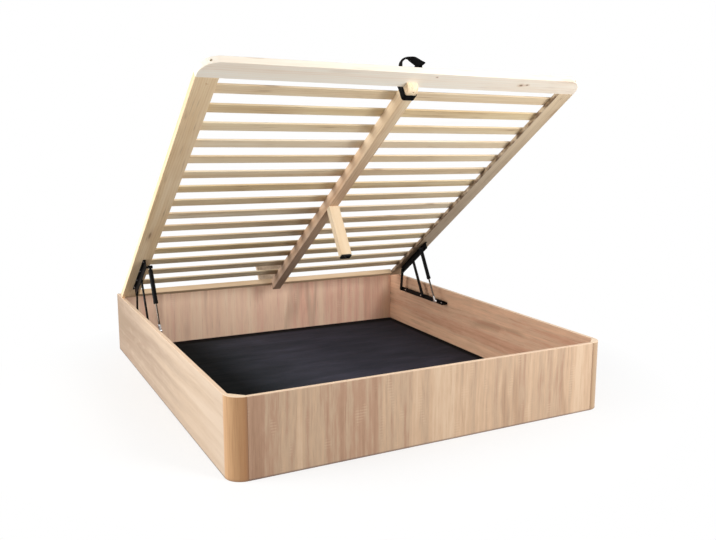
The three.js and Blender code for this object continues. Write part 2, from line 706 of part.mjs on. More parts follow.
for (const [suffix, side] of [["left", -1], ["right", 1]]) {
  // Lower rail: a channel, open at the top, with a low flange on the side panel and the pins in
  // its taller inner blade
  const wallX = insideX - JOINT_GAP;
  const flangeTop = railBottom + LOWER_RAIL_FLANGE;
  const channel = outline([
    [bladeX, railBottom],
    [wallX, railBottom],
    [wallX, flangeTop],
    [wallX - STEEL, flangeTop],
    [wallX - STEEL, railBottom + STEEL],
    [bladeX + STEEL, railBottom + STEEL],
    [bladeX + STEEL, railTop],
    [bladeX, railTop],
  ]);
  const railHoles = [railFront + 10, (pivots.frontFoot.x + pivots.rearFoot.x) / 2].map((y) =>
    barX(RAIL_HOLE_RADIUS, bladeX - 1, bladeX + STEEL + 1, y, railMiddle, 12),
  );
  const lowerRail = joined(
    cut(prismY(channel, railFront, railBack), ...railHoles),
    ...pin(pivots.rearFoot),
    ...pin(pivots.frontFoot),
    ...stud(pivots.gasFoot, gasX + EYE_WIDTH / 2 - 4),
  );
  mesh(bed, "lower_rail_" + suffix, onSide(lowerRail, side), blackSteel);

  // Upper rail: an angle under the lid's side rail
  const angle = outline([
    [bladeX, -UPPER_RAIL_DROP],
    [bladeX + STEEL, -UPPER_RAIL_DROP],
    [bladeX + STEEL, -JOINT_GAP - STEEL],
    [bladeX + UPPER_RAIL_FLANGE, -JOINT_GAP - STEEL],
    [bladeX + UPPER_RAIL_FLANGE, -JOINT_GAP],
    [bladeX, -JOINT_GAP],
  ]);
  const onLid = (along, drop) => new THREE.Vector2(-along, -drop);
  const upperRail = joined(
    prismY(angle, -UPPER_RAIL_FROM_HEAD - UPPER_RAIL_LENGTH, -UPPER_RAIL_FROM_HEAD),
    ...pin(onLid(FRONT_PIVOT, FRONT_PIVOT_DROP)),
    ...stud(onLid(GAS_PIVOT, GAS_PIVOT_DROP), rivetInner),
  );
  mesh(lid, "upper_rail_" + suffix, onSide(upperRail, side), blackSteel);

  // Links
  const rear = between(pivots.rearFoot, pivots.rearTop);
  mesh(rear, "rear_link_" + suffix, onSide(link(REAR_LINK, true), side), blackSteel);
  const front = between(pivots.frontFoot, pivots.frontTop);
  mesh(front, "front_link_" + suffix, onSide(link(FRONT_LINK, false), side), blackSteel);

  // Gas spring: the rod's eye on the lower rail, the tube's eye at the lid
  const spring = between(pivots.gasFoot, pivots.gasTop);
  const reach = pivots.gasTop.distanceTo(pivots.gasFoot);
  const eyeHole = barX(PIN_RADIUS + PIN_CLEAR, gasX - EYE_WIDTH, gasX + EYE_WIDTH, 0, 0);
  const eye = (half, z) => barX(EYE_RADIUS, gasX - half, gasX + half, 0, z);
  const turned = (points, sides) => {
    const profile = points.map(([r, z]) => new THREE.Vector2(r, z));
    return new THREE.LatheGeometry(profile, sides).rotateX(Math.PI / 2).translate(gasX, 0, 0);
  };
  const nutEnd = EYE_RADIUS + END_NUT_LENGTH;
  const springEnd = cut(
    joined(
      eye(EYE_WIDTH / 2, 0),
      turned([[0, 0], [NECK_RADIUS, 0], [NECK_RADIUS, EYE_RADIUS + 3], [END_NUT_RADIUS, EYE_RADIUS + 3],
        [END_NUT_RADIUS, nutEnd], [0, nutEnd], [0, 0]], 6),
    ),
    eyeHole,
  );
  mesh(spring, "gas_end_" + suffix, onSide(springEnd, side), zinc);
  const rod = turned(
    [[0, nutEnd + JOINT_GAP], [ROD_RADIUS, nutEnd + JOINT_GAP], [ROD_RADIUS, ROD_LENGTH - 1],
      [ROD_RADIUS - 1, ROD_LENGTH], [0, ROD_LENGTH], [0, nutEnd + JOINT_GAP]],
    12,
  );
  mesh(spring, "gas_rod_" + suffix, onSide(rod, side), rodSteel);
  const tubeTop = reach - EYE_RADIUS - 4;
  const tubeBottom = tubeTop - TUBE_LENGTH;
  const bore = ROD_RADIUS + ROD_CLEAR;
  const collar = TUBE_RADIUS + TUBE_COLLAR;
  const boreTop = tubeTop - TUBE_RADIUS;
  const tube = joined(
    turned([[bore, tubeBottom], [collar - 1, tubeBottom], [collar, tubeBottom + 1],
      [collar, tubeBottom + 12], [TUBE_RADIUS, tubeBottom + 14], [TUBE_RADIUS, tubeTop - 3],
      [TUBE_RADIUS - 3, tubeTop], [NECK_RADIUS, tubeTop], [NECK_RADIUS, reach], [0, reach],
      [0, boreTop], [bore, boreTop], [bore, tubeBottom]], 20),
    eye(TUBE_RADIUS + TUBE_COLLAR, reach),
  );
  mesh(spring, "gas_tube_" + suffix, onSide(tube, side), blackSteel);
}

export default bed;
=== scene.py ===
"""Looks of the ottoman storage bed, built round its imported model.

Metres, in the model's frame: X across the bed, Y from the foot end to the head end, Z up.
"""
import json
import math

import bpy
import numpy as np
from mathutils import Matrix, Vector

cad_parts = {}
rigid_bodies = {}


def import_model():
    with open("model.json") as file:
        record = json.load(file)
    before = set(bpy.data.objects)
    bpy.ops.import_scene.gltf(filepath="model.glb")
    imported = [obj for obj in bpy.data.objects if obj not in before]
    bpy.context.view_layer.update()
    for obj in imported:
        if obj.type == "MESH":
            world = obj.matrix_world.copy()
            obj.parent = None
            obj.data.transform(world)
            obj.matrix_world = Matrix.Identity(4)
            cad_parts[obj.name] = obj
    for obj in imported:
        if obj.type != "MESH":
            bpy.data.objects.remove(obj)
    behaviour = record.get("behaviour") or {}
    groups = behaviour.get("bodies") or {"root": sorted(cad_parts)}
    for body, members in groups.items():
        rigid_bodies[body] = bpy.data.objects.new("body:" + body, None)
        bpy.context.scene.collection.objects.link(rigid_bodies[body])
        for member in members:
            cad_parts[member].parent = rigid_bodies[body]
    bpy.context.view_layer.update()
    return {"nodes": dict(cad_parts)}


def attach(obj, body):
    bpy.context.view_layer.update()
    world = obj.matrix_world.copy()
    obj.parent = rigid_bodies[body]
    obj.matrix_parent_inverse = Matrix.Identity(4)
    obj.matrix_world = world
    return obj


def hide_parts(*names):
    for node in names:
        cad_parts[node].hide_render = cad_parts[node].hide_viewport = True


# Sizes shared with the model
HALF_W, HALF_L, BOX_H = 0.800, 0.950, 0.292
BOARD, POST = 0.016, 0.062
SLAT_COUNT = 15

# Open lid: its tilt, the middle of its head edge and its length; its rails' thickness, the foot
# rail's width and the right rail's inner edge
TILT = math.radians(34.1)
LID_SETBACK, LID_LIFT = 0.128, 0.001
LID_HEAD = Vector((0.0, HALF_L - LID_SETBACK, BOX_H + LID_LIFT))
LID_L = 1.900
RAIL_T = 0.027
FOOT_RAIL = 0.087
RIGHT_RAIL_INNER = 0.7205

# Leg: how far down the lid it stands, and how far below the lid the recess in its foot is
LEG_V, LEG_RECESS_W = 0.938, -0.2845

# Where the leg's foot stands on the cloth when the lid is shut, along the bed
LEG_STANDS_Y = 0.012

# Middle beam: half its width, and how far it drops below the rails. Pull strap: its section, its
# clearance round the beam and its distance from the foot rail
BEAM_HALF, BEAM_DROP = 0.0225, 0.033
STRAP_W, STRAP_T, STRAP_CLEAR = 0.030, 0.002, 0.0018
STRAP_FROM_RAIL = 0.0025
STRAP_V = LID_L - FOOT_RAIL - STRAP_FROM_RAIL - STRAP_W / 2

# Floor cloth: its half sizes, the cuts at the two posts, its flat top and its thickness
CLOTH_GAP = 0.0006
CLOTH_X, CLOTH_Y = HALF_W - BOARD - CLOTH_GAP, HALF_L - BOARD - CLOTH_GAP
CLOTH_CUT_X, CLOTH_CUT_Y = HALF_W - POST - CLOTH_GAP, HALF_L - POST - CLOTH_GAP
CLOTH_TOP = 0.0041
CLOTH_THICK = 0.0007

# Lower rails of the lift mechanism: the inner blade's face, its middle height, the links' fixed
# pins and the front end
LOWER_RAIL_L, LOWER_RAIL_W, LOWER_RAIL_DROP, PAST_REAR_PIN = 0.478, 0.024, 0.054, 0.020
BLADE_X = HALF_W - 0.050
RAIL_MIDDLE = BOX_H - LOWER_RAIL_DROP - LOWER_RAIL_W / 2
REAR_PIN_Y, FRONT_PIN_Y = 0.728024, 0.476442
RAIL_FRONT = REAR_PIN_Y + PAST_REAR_PIN - LOWER_RAIL_L

# Upper rails' flange: the screws' line across the lid, and its face below the lid
FLANGE_X, FLANGE_W = 0.7575, -0.0033

# Camera
CAMERA_AT = (-1.5399, -3.4452, 1.1578)
CAMERA_YAW, CAMERA_PITCH, CAMERA_ROLL = 0.5413, -0.1726, 0.0171
CAMERA_LENS, CAMERA_SHIFT = 41.30, (-0.1058, 0.0025)


def lin(r, g, b):
    """An sRGB colour, 0 to 255, as linear values."""
    out = []
    for c in (r, g, b):
        c = c / 255
        out.append(c / 12.92 if c <= 0.04045 else ((c + 0.055) / 1.055) ** 2.4)
    return (*out, 1.0)


def clear_scene():
    """Takes away Blender's own first objects and what they are made of."""
    for o in list(bpy.data.objects):
        bpy.data.objects.remove(o)
    for block in (bpy.data.meshes, bpy.data.lights, bpy.data.cameras, bpy.data.materials):
        for item in list(block):
            block.remove(item)


clear_scene()
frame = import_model()
nodes = frame["nodes"]
scene = bpy.context.scene


# Camera at the photograph's place
def make_camera():
    data = bpy.data.cameras.new("photo_camera")
    data.sensor_fit = "HORIZONTAL"
    data.sensor_width = 36.0
    data.lens = CAMERA_LENS
    data.shift_x, data.shift_y = CAMERA_SHIFT
    data.clip_start, data.clip_end = 0.05, 60
    cam = bpy.data.objects.new("photo_camera", data)
    scene.collection.objects.link(cam)
    yaw, pitch, roll = CAMERA_YAW, CAMERA_PITCH, CAMERA_ROLL
    level = math.cos(pitch)
    ahead = Vector((math.sin(yaw) * level, math.cos(yaw) * level, math.sin(pitch)))
    right = Vector((math.cos(yaw), -math.sin(yaw), 0))
    up = right.cross(ahead)
    side = right * math.cos(roll) + up * math.sin(roll)
    top = up * math.cos(roll) - right * math.sin(roll)
    cam.matrix_world = Matrix(
        (
            (side.x, top.x, -ahead.x, CAMERA_AT[0]),
            (side.y, top.y, -ahead.y, CAMERA_AT[1]),
            (side.z, top.z, -ahead.z, CAMERA_AT[2]),
            (0, 0, 0, 1),
        )
    )
    scene.camera = cam


make_camera()
scene.view_settings.view_transform = "Standard"


# Light and surroundings
def straight_rays(tree):
    """1 for camera, glossy and transmission rays, which see the white surroundings themselves."""
    path = tree.nodes.new("ShaderNodeLightPath")
    seen = path.outputs["Is Camera Ray"]
    for kind in ("Is Glossy Ray", "Is Transmission Ray"):
        either = tree.nodes.new("ShaderNodeMath")
        either.operation = "MAXIMUM"
        tree.links.new(seen, either.inputs[0])
        tree.links.new(path.outputs[kind], either.inputs[1])
        seen = either.outputs[0]
    return seen


def make_world():
    world = bpy.data.worlds.new("studio")
    scene.world = world
    world.use_nodes = True
    tree = world.node_tree
    tree.nodes.clear()
    out = tree.nodes.new("ShaderNodeOutputWorld")
    mix = tree.nodes.new("ShaderNodeMixShader")
    white = tree.nodes.new("ShaderNodeBackground")
    white.inputs["Color"].default_value = (1, 1, 1, 1)
    white.inputs["Strength"].default_value = 1.0
    soft = tree.nodes.new("ShaderNodeBackground")
    soft.inputs["Color"].default_value = (1.0, 0.985, 0.965, 1)
    soft.inputs["Strength"].default_value = 0.4
    tree.links.new(straight_rays(tree), mix.inputs["Fac"])
    tree.links.new(soft.outputs[0], mix.inputs[1])
    tree.links.new(white.outputs[0], mix.inputs[2])
    tree.links.new(mix.outputs[0], out.inputs["Surface"])


def area_light(name, place, aim, size, power, colour):
    data = bpy.data.lights.new(name, "AREA")
    data.shape = "RECTANGLE"
    data.size, data.size_y = size
    data.energy = power
    data.color = colour
    light = bpy.data.objects.new(name, data)
    scene.collection.objects.link(light)
    light.location = place
    light.rotation_euler = (Vector(aim) - Vector(place)).to_track_quat("-Z", "Y").to_euler()


make_world()
area_light("key_left", (-4.6, 0.6, 1.9), (0, 0.2, 0.4), (3.4, 2.6), 222, (1.0, 0.985, 0.965))
area_light("high_front", (1.7, -4.3, 3.2), (0, -0.2, 0.4), (1.5, 1.1), 72, (1.0, 0.99, 0.98))
area_light("middle_front", (1.3, -3.6, 1.7), (0, 0.5, 0.3), (1.2, 0.9), 46, (1.0, 0.99, 0.98))
area_light("low_right", (2.5, -3.2, 0.55), (0.4, -0.6, 0.8), (1.2, 0.7), 36, (1.0, 0.985, 0.97))


# Node helpers
class Nodes:
    """A material's node tree with short calls for what the materials below need."""

    def __init__(self, name):
        self.mat = bpy.data.materials.new(name)
        self.mat.use_nodes = True
        self.tree = self.mat.node_tree
        self.tree.nodes.clear()
        self.out = self.tree.nodes.new("ShaderNodeOutputMaterial")
        self.bsdf = self.tree.nodes.new("ShaderNodeBsdfPrincipled")
        self.tree.links.new(self.bsdf.outputs[0], self.out.inputs["Surface"])

    def new(self, kind, **values):
        node = self.tree.nodes.new("ShaderNode" + kind)
        for key, value in values.items():
            setattr(node, key, value)
        return node

    def link(self, a, b):
        self.tree.links.new(a, b)

    def put(self, value, socket):
        """Gives a socket another socket's value, or a fixed one."""
        if isinstance(value, bpy.types.NodeSocket):
            self.link(value, socket)
        else:
            socket.default_value = value

    def coords(self, turn=(0, 0, 0), shift=(0, 0, 0), scale=(1, 1, 1)):
        """Object coordinates, shifted, then turned, then scaled."""
        source = self.new("TexCoord").outputs["Object"]
        first = self.new("Mapping")
        first.inputs["Location"].default_value = shift
        self.link(source, first.inputs["Vector"])
        second = self.new("Mapping")
        second.inputs["Rotation"].default_value = turn
        self.link(first.outputs[0], second.inputs["Vector"])
        third = self.new("Mapping")
        third.inputs["Scale"].default_value = scale
        self.link(second.outputs[0], third.inputs["Vector"])
        return third.outputs[0]

    def stretched(self, vector, scale, shift=(0, 0, 0)):
        node = self.new("Mapping")
        node.inputs["Scale"].default_value = scale
        node.inputs["Location"].default_value = shift
        self.link(vector, node.inputs["Vector"])
        return node.outputs[0]

    def sway(self, vector, amount, scale):
        """The vector, pushed to and fro across by a slow noise."""
        slow = self.noise(self.stretched(vector, scale, (2, 7, 1)), detail=1)
        push = self.math("MULTIPLY", self.math("SUBTRACT", slow, 0.5), amount)
        offset = self.new("CombineXYZ")
        self.link(push, offset.inputs[1])
        self.link(push, offset.inputs[2])
        both = self.new("VectorMath", operation="ADD")
        self.link(vector, both.inputs[0])
        self.link(offset.outputs[0], both.inputs[1])
        return both.outputs[0]

    def noise(self, vector, scale=1.0, detail=3.0, rough=0.5):
        node = self.new("TexNoise")
        node.inputs["Scale"].default_value = scale
        node.inputs["Detail"].default_value = detail
        node.inputs["Roughness"].default_value = rough
        node.inputs["Distortion"].default_value = 0.0
        self.link(vector, node.inputs["Vector"])
        return node.outputs["Fac"]

    def voronoi(self, vector, scale=1.0):
        node = self.new("TexVoronoi", feature="F1")
        node.inputs["Scale"].default_value = scale
        self.link(vector, node.inputs["Vector"])
        return node.outputs["Distance"]

    def wave(self, vector, scale=1.0, distortion=0.0, detail=2.0, direction="Y", detail_scale=1.0):
        node = self.new("TexWave", wave_type="BANDS", bands_direction=direction)
        node.inputs["Scale"].default_value = scale
        node.inputs["Distortion"].default_value = distortion
        node.inputs["Detail"].default_value = detail
        node.inputs["Detail Scale"].default_value = detail_scale
        self.link(vector, node.inputs["Vector"])
        return node.outputs["Fac"]

    def math(self, op, a, b=0.0):
        node = self.new("Math", operation=op)
        self.put(a, node.inputs[0])
        self.put(b, node.inputs[1])
        return node.outputs[0]

    def ramp(self, fac, stops):
        node = self.new("ValToRGB")
        ramp = node.color_ramp
        while len(ramp.elements) < len(stops):
            ramp.elements.new(0.5)
        for element, (at, colour) in zip(ramp.elements, stops):
            element.position = at
            element.color = colour
        self.link(fac, node.inputs["Fac"])
        return node.outputs["Color"]

    def grey(self, fac, low, high, start=0.0, end=1.0):
        """Runs evenly from low to high while fac goes from start to end, and stays there."""
        node = self.new("MapRange", clamp=True)
        node.inputs["From Min"].default_value = start
        node.inputs["From Max"].default_value = end
        node.inputs["To Min"].default_value = low
        node.inputs["To Max"].default_value = high
        self.link(fac, node.inputs["Value"])
        return node.outputs["Result"]

    def mix(self, fac, a, b, blend="MIX"):
        node = self.new("Mix", data_type="RGBA", blend_type=blend)
        self.put(fac, node.inputs["Factor"])
        self.put(a, node.inputs["A"])
        self.put(b, node.inputs["B"])
        return node.outputs["Result"]

    def separate(self, vector):
        node = self.new("SeparateXYZ")
        self.link(vector, node.inputs[0])
        return node.outputs

    def bump(self, height, strength, distance):
        node = self.new("Bump")
        node.inputs["Strength"].default_value = strength
        node.inputs["Distance"].default_value = distance
        self.link(height, node.inputs["Height"])
        self.link(node.outputs[0], self.bsdf.inputs["Normal"])

    def colour(self, value):
        self.put(value, self.bsdf.inputs["Base Color"])

    def rough(self, value):
        self.put(value, self.bsdf.inputs["Roughness"])

    def set(self, **values):
        """Values that are the same all over the surface, on the shader's own sockets."""
        for key, value in values.items():
            socket = key.replace("_", " ").title().replace("Ior", "IOR")
            self.bsdf.inputs[socket].default_value = value


# Object coordinates turned and shifted by these run along the lid: x across, -y down from its
# head edge, z out of its upper side
LID_TURN = (TILT, 0, 0)
LID_SHIFT = (0, -LID_HEAD.y, -LID_HEAD.z)

# Turns that lay a piece's grain along x
GRAIN_TURN = {"X": (0, 0, 0), "Y": (0, 0, -math.pi / 2), "Z": (0, math.pi / 2, 0)}


# Materials
def laminate(name, along, tones, edge, seed=0.0, top=True, lean=(0, 0.0), streak=0.34,
             mottled=0.20, lines=0.42):
    """Oak-look foil on board: bands of cream, tan, grey-beige and pinkish brown along the grain,
    fine streaks, thin flame lines and patches of short ticks across.

    top is for a panel whose upper edge is taped; lean gives an axis and how much paler the foil
    gets along it, painted light that stands in for light growing that way; streak, mottled and
    lines are the strengths of its streaks, its mottle and its dark lines.
    """
    n = Nodes(name)
    base = n.coords(turn=GRAIN_TURN[along], shift=(seed, seed * 0.37, seed * 0.73))
    # x now runs along the grain; the bands sway a little on their way
    swayed = n.sway(base, 0.022, (2.4, 3, 3))
    wide = n.noise(n.stretched(swayed, (0.30, 5, 5)), detail=1, rough=0.5)
    bands = n.noise(n.stretched(swayed, (0.40, 19, 19), (3, 1, 2)), detail=2, rough=0.5)
    streaks = n.noise(n.stretched(swayed, (3.2, 95, 95), (1, 4, 2)), detail=4, rough=0.65)
    mottle = n.noise(n.stretched(swayed, (11, 60, 60), (6, 3, 8)), detail=3, rough=0.6)
    fibres = n.noise(n.stretched(base, (8, 260, 260), (5, 1, 9)), detail=4, rough=0.7)
    tone = n.math("ADD", n.math("MULTIPLY", wide, 0.42), n.math("MULTIPLY", bands, 0.50))
    tone = n.math("ADD", tone, 0.04)
    tone = n.math("ADD", tone, n.math("MULTIPLY", n.math("SUBTRACT", streaks, 0.5), streak))
    tone = n.math("ADD", tone, n.math("MULTIPLY", n.math("SUBTRACT", mottle, 0.5), mottled))
    place = n.separate(n.new("TexCoord").outputs["Object"])
    # painted light: the foil is made paler along the given axis
    axis, amount = lean
    tone = n.math("SUBTRACT", tone, n.math("MULTIPLY", place[axis], amount))
    cream, tan, grey, pink, dark = tones
    colour = n.ramp(tone, [(0.33, cream), (0.44, tan), (0.51, grey), (0.58, pink), (0.70, dark)])
    # darker streaks and the flame lines
    colour = n.mix(n.grey(streaks, 0.0, 0.7 * lines, 0.56, 0.80), colour, dark)
    figure = n.wave(
        n.stretched(swayed, (0.75, 6.5, 6.5), (0.2, 0.4, 0.1)), scale=1.2, distortion=8.0,
        detail=2.5, direction="Y", detail_scale=0.6,
    )
    patch = n.noise(n.stretched(base, (2.5, 7, 7), (9, 2, 4)), detail=1)
    patch = n.grey(patch, 0.0, 1.0, 0.46, 0.62)
    flame = n.math("MULTIPLY", n.grey(figure, 0.0, lines, 0.90, 1.0), patch)
    colour = n.mix(flame, colour, lin(146, 112, 88))
    # short pale ticks across the grain, in small patches
    shaken = n.sway(base, 0.006, (60, 60, 60))
    ticks = n.wave(shaken, scale=30, distortion=0.6, detail=1, direction="X")
    ticks = n.grey(ticks, 0.0, 0.30, 0.35, 0.75)
    spot = n.noise(n.stretched(base, (9, 24, 24), (7, 5, 3)), detail=1)
    spots = n.math("MULTIPLY", n.grey(spot, 0.0, 1.0, 0.60, 0.68), ticks)
    colour = n.mix(spots, colour, cream)
    in_streaks = n.grey(streaks, 0.2, 1.0, 0.42, 0.62)
    pores = n.math("MULTIPLY", n.grey(fibres, 0.0, 1.0, 0.55, 0.72), in_streaks)
    colour = n.mix(n.math("MULTIPLY", pores, 1.2 * lines), colour, lin(126, 94, 73))
    foot_line = n.grey(place[2], 0.75, 0.0, 0.003, 0.008)
    colour = n.mix(foot_line, colour, lin(104, 88, 82))
    if top:
        band = n.grey(place[2], 0.0, 1.0, BOX_H - 0.0012, BOX_H - 0.0008)
        specks = n.noise(n.coords(scale=(60, 60, 60)), detail=2)
        tape = n.mix(specks, edge, tuple(0.92 * c for c in edge[:3]) + (1,))
        colour = n.mix(band, colour, tape)
        # hand wear: the arris right under the top is a little lighter
        worn = n.grey(place[2], 0.0, 0.28, BOX_H - 0.006, BOX_H - 0.001)
        colour = n.mix(n.math("MULTIPLY", worn, specks), colour, edge)
    n.colour(colour)
    n.rough(n.grey(streaks, 0.50, 0.66))
    relief = n.math("ADD", n.math("MULTIPLY", fibres, 0.6), n.math("MULTIPLY", streaks, 0.4))
    n.bump(relief, 0.25, 0.0006)
    n.set(specular_ior_level=0.3)
    return n.mat


def pine(name, along, tones, knots=0.8, seed=0.0, marks=0.0, knot_at=(), edge_at=None, head_shade=None):
    """Planed softwood: growth lines, pale and brownish bands and a few small knots.

    knots and marks are the strengths of the small knots and of the smoky streaks; knot_at gives
    further knots, each as its place across and down the lid and its radius; edge_at is the x of an
    inner edge with a dark, broken line along it, painted shade of the gap where the slats meet it;
    the last argument gives painted shade: the share of its colour that the wood keeps at the lid's
    head end and in its middle, darkened there as less light reaches it.
    """
    n = Nodes(name)
    light, mid, dark = tones
    lid = n.coords(turn=LID_TURN, shift=LID_SHIFT)
    turned = n.new("Mapping")
    turned.inputs["Rotation"].default_value = GRAIN_TURN[along]
    turned.inputs["Location"].default_value = (seed, seed * 0.61, seed * 0.23)
    n.link(lid, turned.inputs["Vector"])
    base = turned.outputs[0]
    lines_at = n.sway(n.stretched(base, (0.5, 1, 1)), 0.035, (3.2, 14, 14))
    rings = n.wave(lines_at, scale=30, distortion=2.2, detail=2.0, direction="Y", detail_scale=0.6)
    bands = n.noise(n.stretched(base, (0.8, 22, 22), (2, 5, 3)), detail=3, rough=0.55)
    fibres = n.noise(n.stretched(base, (11, 420, 420)), detail=3, rough=0.7)
    tone = n.math("ADD", n.math("MULTIPLY", bands, 0.72), n.math("MULTIPLY", rings, 0.10))
    tone = n.math("ADD", tone, n.math("MULTIPLY", n.math("SUBTRACT", fibres, 0.5), 0.30))
    colour = n.ramp(tone, [(0.28, light), (0.47, mid), (0.70, dark)])
    # along the piece some lengths are browner, with smoky streaks in them
    lengths = n.noise(n.stretched(base, (3.0, 6, 6), (6, 1, 4)), detail=2)
    colour = n.mix(n.grey(lengths, 0.0, 0.45, 0.50, 0.72), colour, dark)
    smoky_noise = n.noise(n.stretched(base, (7, 120, 120), (8, 3, 5)), detail=2)
    smoky_lengths = n.grey(lengths, 0.0, marks, 0.42, 0.60)
    smoky = n.math("MULTIPLY", n.grey(smoky_noise, 0.0, 1.0, 0.60, 0.74), smoky_lengths)
    colour = n.mix(smoky, colour, lin(150, 112, 78))
    # knots: sparse cells, each a dark core in a reddish halo
    cells = n.voronoi(n.stretched(base, (2.3, 13, 13), (4, 3, 8)))
    core = n.grey(cells, 1.0, 0.0, 0.035, 0.085)
    halo = n.grey(cells, 1.0, 0.0, 0.06, 0.22)
    colour = n.mix(n.math("MULTIPLY", halo, 0.35 * knots), colour, lin(176, 128, 82))
    colour = n.mix(n.math("MULTIPLY", core, 0.80 * knots), colour, lin(112, 70, 42))
    place = n.separate(lid)
    for x, v, radius in knot_at:
        across = n.math("MULTIPLY", n.math("SUBTRACT", place[0], x), 0.6)
        down = n.math("SUBTRACT", n.math("MULTIPLY", place[1], -1.0), v)
        away = n.math("ADD", n.math("MULTIPLY", across, across), n.math("MULTIPLY", down, down))
        away = n.math("DIVIDE", n.math("SQRT", away), radius)
        away = n.math("ADD", away, n.math("MULTIPLY", n.math("SUBTRACT", smoky_noise, 0.5), 1.2))
        colour = n.mix(n.grey(away, 0.55, 0.0, 0.9, 2.6), colour, lin(206, 168, 128))
        colour = n.mix(n.grey(away, 0.85, 0.0, 0.45, 1.0), colour, lin(120, 82, 54))
    # painted shade: a dark, broken line along the inner edge, in the gap where the slats meet the
    # rail
    if edge_at:
        beside = n.math("ABSOLUTE", n.math("SUBTRACT", place[0], edge_at))
        broken = n.noise(n.stretched(base, (26, 40, 40), (3, 3, 3)), detail=2)
        broken = n.grey(broken, 0.15, 0.85, 0.42, 0.60)
        line = n.math("MULTIPLY", n.grey(beside, 1.0, 0.0, 0.002, 0.006), broken)
        colour = n.mix(line, colour, lin(112, 82, 56))
    # painted shade: the wood is darkened toward the lid's head end, where less light reaches it
    if head_shade:
        up = n.grey(n.math("MULTIPLY", place[1], -1.0), 0.0, 1.0, 0.15, 1.75)
        kept = n.ramp(up, [(0.0, head_shade[0] + (1,)), (0.6, head_shade[1] + (1,)), (1.0, (1, 1, 1, 1))])
        colour = n.mix(1.0, colour, kept, "MULTIPLY")
    n.colour(colour)
    n.rough(n.grey(fibres, 0.46, 0.64))
    relief = n.math("ADD", n.math("MULTIPLY", rings, 0.35), n.math("MULTIPLY", fibres, 0.65))
    n.bump(relief, 0.25, 0.0007)
    n.set(specular_ior_level=0.3)
    return n.mat


def foil_post(name, tones, way):
    """Corner post in plain foil: faint upright grain, with painted shade that deepens it toward
    its seam with the foot panel.

    way is 1 where the foot panel lies at the post's +X side and -1 where it lies at its -X side.
    """
    n = Nodes(name)
    light, mid, dark = tones
    base = n.coords(turn=(0, math.pi / 2, 0))
    soft = n.noise(n.stretched(base, (0.8, 30, 30)), detail=2)
    fine = n.noise(n.stretched(base, (6, 260, 260)), detail=3, rough=0.6)
    tone = n.math("ADD", n.math("MULTIPLY", soft, 0.7), n.math("MULTIPLY", fine, 0.3))
    colour = n.ramp(tone, [(0.35, light), (0.55, mid), (0.75, dark)])
    place = n.separate(n.new("TexCoord").outputs["Object"])
    # painted shade: the post darkens toward its seam with the foot panel, deepest in a thin band
    # just before it
    near = n.math("MULTIPLY", place[0], way)
    seam = POST - HALF_W
    colour = n.mix(n.grey(near, 0.0, 0.80, seam - 0.050, seam - 0.010), colour, dark)
    colour = n.mix(n.grey(near, 0.0, 0.45, seam - 0.009, seam - 0.004), colour, lin(128, 92, 66))
    # a pale top, and darker for the last centimetre at its foot
    band = n.grey(place[2], 0.0, 1.0, BOX_H - 0.0012, BOX_H - 0.0008)
    colour = n.mix(band, colour, lin(240, 214, 184))
    foot_darkening = n.grey(place[2], 0.5, 0.0, 0.001, 0.010)
    colour = n.mix(foot_darkening, colour, lin(120, 94, 74))
    n.colour(colour)
    n.rough(n.grey(fine, 0.36, 0.48))
    n.bump(fine, 0.12, 0.0004)
    return n.mat


def painted_steel(name, colour=(10, 10, 11), wear=0.3):
    """Black powder coat: fine orange peel, faint paler clouds and a few greyed, worn specks."""
    n = Nodes(name)
    base = n.coords()
    peel = n.noise(base, scale=1400, detail=2)
    cloud = n.noise(base, scale=18, detail=4, rough=0.6)
    worn = n.grey(n.noise(base, scale=260, detail=5, rough=0.7), 0.0, 1.0, 0.66, 0.74)
    dark = lin(*colour)
    grey = lin(*(c + 9 for c in colour))
    shade = n.mix(cloud, dark, grey)
    shade = n.mix(n.math("MULTIPLY", worn, wear * 0.5), shade, lin(52, 52, 54))
    n.colour(shade)
    n.rough(n.grey(cloud, 0.34, 0.52))
    n.bump(peel, 0.18, 0.0003)
    n.set(specular_ior_level=0.05)
    return n.mat


def bright_metal(name, colour, rough=(0.18, 0.34), dull=(120, 118, 112)):
    """Plated or ground steel with fine turning lines and a few dull places."""
    n = Nodes(name)
    base = n.coords()
    lines = n.noise(n.stretched(base, (900, 60, 60)), detail=2)
    cloud = n.noise(base, scale=90, detail=4)
    shade = n.mix(n.grey(cloud, 0.0, 0.5, 0.45, 0.75), lin(*colour), lin(*dull))
    n.colour(shade)
    n.rough(n.grey(lines, *rough))
    n.bump(lines, 0.08, 0.0002)
    n.set(metallic=1.0)
    return n.mat


def black_plastic(name):
    """Moulded plastic: fine grain and a few paler scuffs."""
    n = Nodes(name)
    base = n.coords()
    grain = n.noise(base, scale=900, detail=3, rough=0.7)
    scuffs = n.grey(n.noise(base, scale=120, detail=5, rough=0.7), 0.0, 0.5, 0.58, 0.75)
    n.colour(n.mix(scuffs, lin(12, 12, 13), lin(40, 39, 38)))
    n.rough(n.grey(grain, 0.45, 0.62))
    n.bump(grain, 0.25, 0.0003)
    n.set(specular_ior_level=0.2)
    return n.mat


